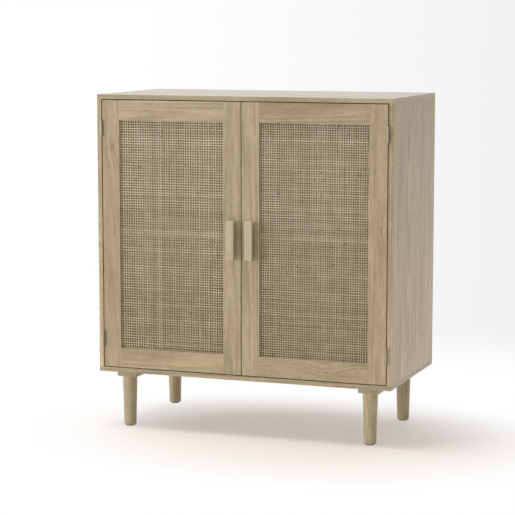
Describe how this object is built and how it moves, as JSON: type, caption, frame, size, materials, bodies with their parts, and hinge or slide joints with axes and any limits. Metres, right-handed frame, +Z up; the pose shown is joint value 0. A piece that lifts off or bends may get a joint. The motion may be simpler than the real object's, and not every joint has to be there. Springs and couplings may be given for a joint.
{
  "type": "record cabinet",
  "caption": "Oak record cabinet with inset cane-panel doors on butt hinges, wooden bar handles, a divided and shelved inside, and tapered round legs.",
  "frame": {"origin": "on the floor, at the middle of the closed cabinet's width and depth, handles included", "axes": "+X to the right as seen from the front, +Y from the doors to the back, +Z up"},
  "size_m": [0.8, 0.42, 0.88],
  "materials": {
    "oak_veneer": "satin lacquer",
    "oak": "satin lacquer",
    "turned_oak": "satin lacquer",
    "handle_oak": "satin lacquer",
    "cane": "bare woven cane",
    "back_board": "printed hardboard",
    "beech": "fluted dowel, unfinished",
    "hinge_steel": "nickel plate",
    "zinc_steel": "zinc plate",
    "nylon": "moulded nylon",
    "magnet": "ferrite",
    "felt": "soft strip"
  },
  "bodies": {
    "carcass": {"top_panel": "oak_veneer", "bottom_panel": "oak_veneer", "left_side_panel": "oak_veneer", "right_side_panel": "oak_veneer", "centre_divider": "oak_veneer", "back_panel": "back_board", "left_shelf": "oak_veneer", "right_shelf": "oak_veneer", "shelf_pins": "zinc_steel", "left_leg_batten": "oak", "right_leg_batten": "oak", "leg_batten_screws": "zinc_steel", "front_left_leg": "turned_oak", "front_right_leg": "turned_oak", "rear_left_leg": "turned_oak", "rear_right_leg": "turned_oak", "leg_hanger_bolts": "zinc_steel", "leg_threaded_inserts": "zinc_steel", "leg_glides": "nylon", "carcass_dowels": "beech", "cam_bolts": "zinc_steel", "cam_locks": "zinc_steel", "left_carcass_hinge_leaves": "hinge_steel", "right_carcass_hinge_leaves": "hinge_steel", "hinge_pins": "hinge_steel", "carcass_hinge_and_catch_screws": "zinc_steel", "left_catch_housing": "nylon", "right_catch_housing": "nylon", "catch_magnets": "magnet", "catch_pole_plates": "hinge_steel", "door_bumpers": "felt"},
    "left_door": {"left_door_hinge_stile": "oak", "left_door_meeting_stile": "oak", "left_door_top_rail": "oak", "left_door_bottom_rail": "oak", "left_door_frame_dowels": "beech", "left_door_cane_panel": "cane", "left_door_cane_beads": "oak", "left_door_handle": "handle_oak", "left_door_handle_screws": "zinc_steel", "left_door_strike_plate": "hinge_steel", "left_door_hinge_leaves": "hinge_steel", "left_door_hinge_and_strike_screws": "zinc_steel"},
    "right_door": {"right_door_hinge_stile": "oak", "right_door_meeting_stile": "oak", "right_door_top_rail": "oak", "right_door_bottom_rail": "oak", "right_door_frame_dowels": "beech", "right_door_cane_panel": "cane", "right_door_cane_beads": "oak", "right_door_handle": "handle_oak", "right_door_handle_screws": "zinc_steel", "right_door_strike_plate": "hinge_steel", "right_door_hinge_leaves": "hinge_steel", "right_door_hinge_and_strike_screws": "zinc_steel"}
  },
  "joints": [
    {"name": "left_door_hinge", "type": "hinge", "parent": "carcass", "child": "left_door", "pos_m": [-0.3869, -0.1934, 0.515], "axis": [0, 0, -1], "range_deg": [0, 180]},
    {"name": "right_door_hinge", "type": "hinge", "parent": "carcass", "child": "right_door", "pos_m": [0.3869, -0.1934, 0.515], "axis": [0, 0, 1], "range_deg": [0, 180]}
  ]
}
